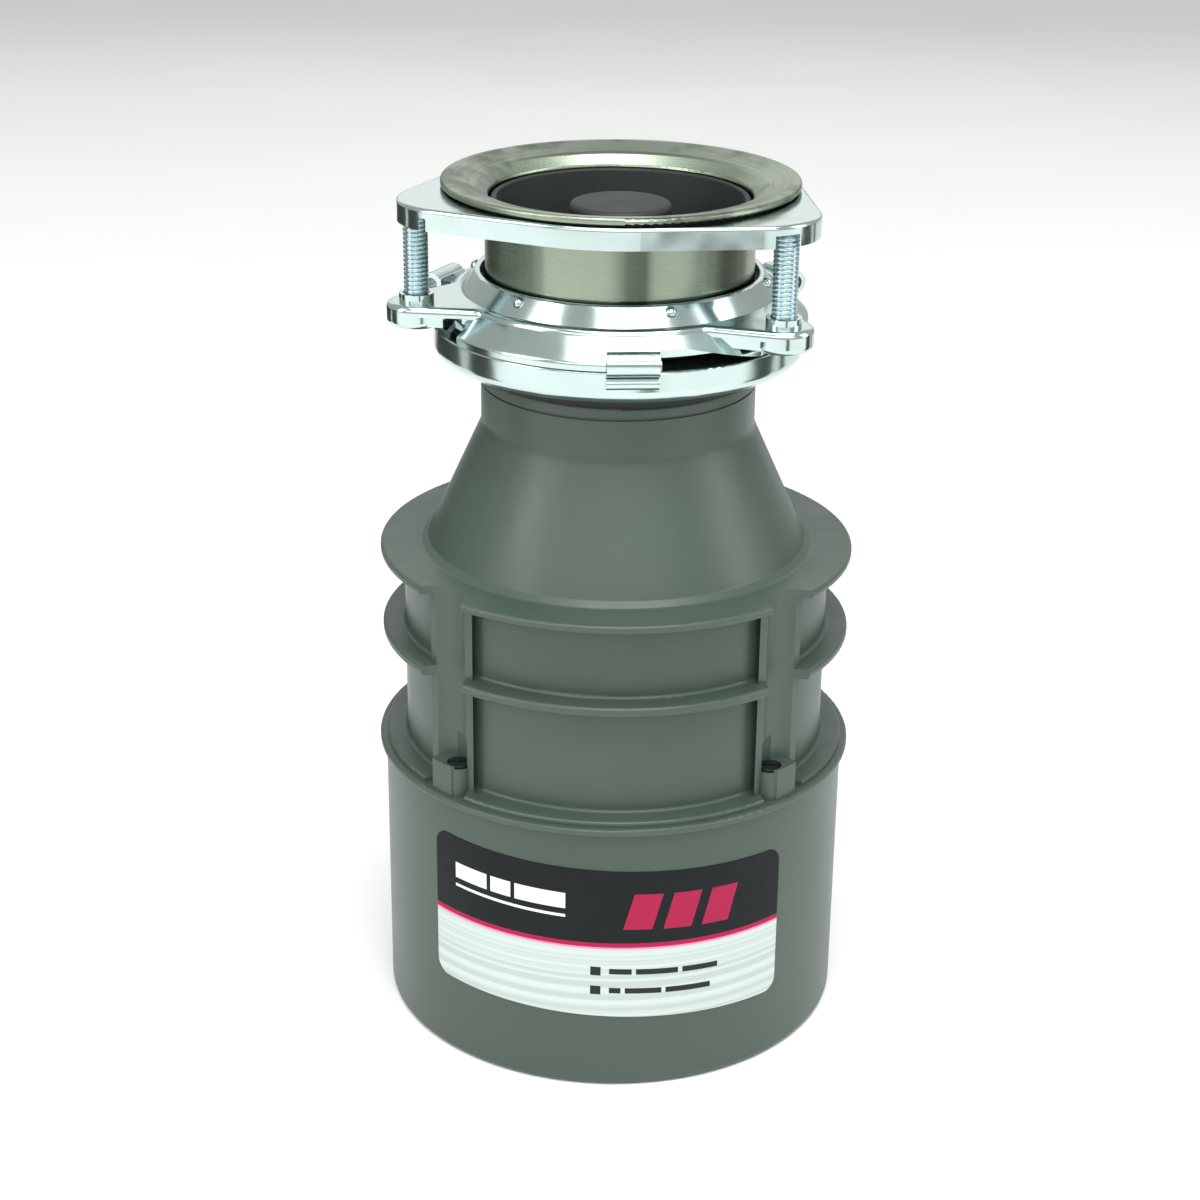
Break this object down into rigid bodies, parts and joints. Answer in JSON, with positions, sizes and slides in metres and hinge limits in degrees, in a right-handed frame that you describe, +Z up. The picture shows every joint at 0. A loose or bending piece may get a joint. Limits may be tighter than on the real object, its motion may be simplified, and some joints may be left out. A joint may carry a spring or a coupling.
{
  "type": "kitchen waste disposer",
  "caption": "Under-sink food waste disposer: round motor shell, ribbed conical grinding body, and a quick-lock sink mount with flange, clamp screws and stopper.",
  "frame": {"origin": "on the machine's axis, at the bottom rim of the shell that it stands on", "axes": "+Z up along the rotor axis towards the sink flange, -Y the labelled front, +Y the waste outlet side"},
  "size_m": [0.162, 0.162, 0.2894],
  "materials": {
    "shell_paint": "satin grey-green paint",
    "body_plastic": "satin moulded grey-green plastic",
    "label_print": "gloss printed film",
    "rubber": "matt black",
    "stainless": "spun and brushed",
    "grind_stainless": "machined",
    "bright_zinc": "bright plated pressing",
    "screw_zinc": "zinc plated thread",
    "screw_steel": "dark zinc",
    "cast_aluminium": "as cast",
    "bronze": "sintered bronze",
    "lamination_steel": "stacked sheet edges",
    "winding_copper": "varnished copper wire",
    "shaft_steel": "ground",
    "gasket_fibre": "grey fibre",
    "black_plastic": "satin",
    "red_plastic": "satin",
    "lead_black": "insulation",
    "lead_white": "insulation",
    "ground_green": "green dyed zinc",
    "nylon": "moulded",
    "cover_zinc": "zinc plated sheet"
  },
  "bodies": {
    "housing": {"motor_shell": "shell_paint", "label_plate": "label_print", "container_drain_chamber": "body_plastic", "container_grind_chamber": "body_plastic", "container_cone": "body_plastic", "container_screws": "screw_steel", "dishwasher_knockout": "body_plastic", "body_gasket": "rubber", "splash_baffle": "rubber", "grind_ring": "grind_stainless", "upper_end_frame": "cast_aluminium", "upper_bearing": "bronze", "lower_bearing": "bronze", "shaft_seal": "rubber", "stator_core": "lamination_steel", "stator_windings": "winding_copper", "lower_end_frame": "cast_aluminium", "wiring_cover": "cover_zinc", "wiring_cover_screw": "screw_steel", "ground_screw": "ground_green", "through_bolts": "screw_steel", "overload_protector": "black_plastic", "start_switch": "nylon", "motor_lead_live": "lead_black", "motor_lead_neutral": "lead_white"},
    "reset_button": {"reset_button": "red_plastic"},
    "rotor": {"rotor_shaft": "shaft_steel", "rotor_core": "lamination_steel", "rotor_cage": "cast_aluminium", "governor_plate": "shaft_steel", "turntable": "grind_stainless", "turntable_nut": "shaft_steel", "slinger": "rubber", "thrust_washer": "bronze", "impeller_pins": "shaft_steel"},
    "impeller_right": {"impeller_right": "grind_stainless"},
    "impeller_left": {"impeller_left": "grind_stainless"},
    "governor_sleeve": {"centrifugal_sleeve": "nylon"},
    "sink_mount": {"sink_flange": "stainless", "mounting_ring": "bright_zinc", "snap_ring": "shaft_steel"},
    "backup_clamp": {"backup_flange": "bright_zinc", "fiber_gasket": "gasket_fibre"},
    "lock_ring": {"lower_mounting_ring": "bright_zinc"},
    "clamp_screw_left": {"mounting_screw_left": "screw_zinc"},
    "clamp_screw_right": {"mounting_screw_right": "screw_zinc"},
    "clamp_screw_rear": {"mounting_screw_rear": "screw_zinc"},
    "stopper": {"stopper": "black_plastic", "stopper_seal": "rubber"}
  },
  "joints": [
    {"name": "rotor_spin", "type": "hinge", "parent": "housing", "child": "rotor", "pos_m": [0, 0, 0.1], "axis": [0, 0, 1], "continuous": true},
    {"name": "impeller_right_swivel", "type": "hinge", "parent": "rotor", "child": "impeller_right", "pos_m": [0.038, 0, 0.147], "axis": [0, 0, 1], "continuous": true},
    {"name": "impeller_left_swivel", "type": "hinge", "parent": "rotor", "child": "impeller_left", "pos_m": [-0.038, 0, 0.147], "axis": [0, 0, 1], "continuous": true},
    {"name": "governor_slide", "type": "slide", "parent": "rotor", "child": "governor_sleeve", "axis": [0, 0, -1], "range_m": [0, 0.0018], "stiffness_N_per_m": 1000, "springref_m": -0.001},
    {"name": "reset_press", "type": "slide", "parent": "housing", "child": "reset_button", "axis": [0, 0, 1], "range_m": [0, 0.0025], "stiffness_N_per_m": 800, "springref_m": -0.001},
    {"name": "mount_align", "type": "hinge", "parent": "housing", "child": "sink_mount", "pos_m": [0, 0, 0.24], "axis": [0, 0, 1], "continuous": true},
    {"name": "lock_turn", "type": "hinge", "parent": "sink_mount", "child": "lock_ring", "pos_m": [0, 0, 0.24], "axis": [0, 0, 1], "range_deg": [0, 14]},
    {"name": "clamp_lower", "type": "slide", "parent": "sink_mount", "child": "backup_clamp", "axis": [0, 0, -1], "range_m": [0, 0.01]},
    {"name": "screw_left_feed", "type": "slide", "parent": "sink_mount", "child": "clamp_screw_left", "axis": [0, 0, -1], "range_m": [0, 0.01]},
    {"name": "screw_right_feed", "type": "slide", "parent": "sink_mount", "child": "clamp_screw_right", "axis": [0, 0, -1], "range_m": [0, 0.01]},
    {"name": "screw_rear_feed", "type": "slide", "parent": "sink_mount", "child": "clamp_screw_rear", "axis": [0, 0, -1], "range_m": [0, 0.01]},
    {"name": "stopper_lift", "type": "slide", "parent": "sink_mount", "child": "stopper", "axis": [0, 0, 1], "range_m": [0, 0.045]}
  ],
  "couplings": [
    {"joint": "screw_left_feed", "follows": "clamp_lower", "ratio": 1},
    {"joint": "screw_right_feed", "follows": "clamp_lower", "ratio": 1},
    {"joint": "screw_rear_feed", "follows": "clamp_lower", "ratio": 1}
  ]
}
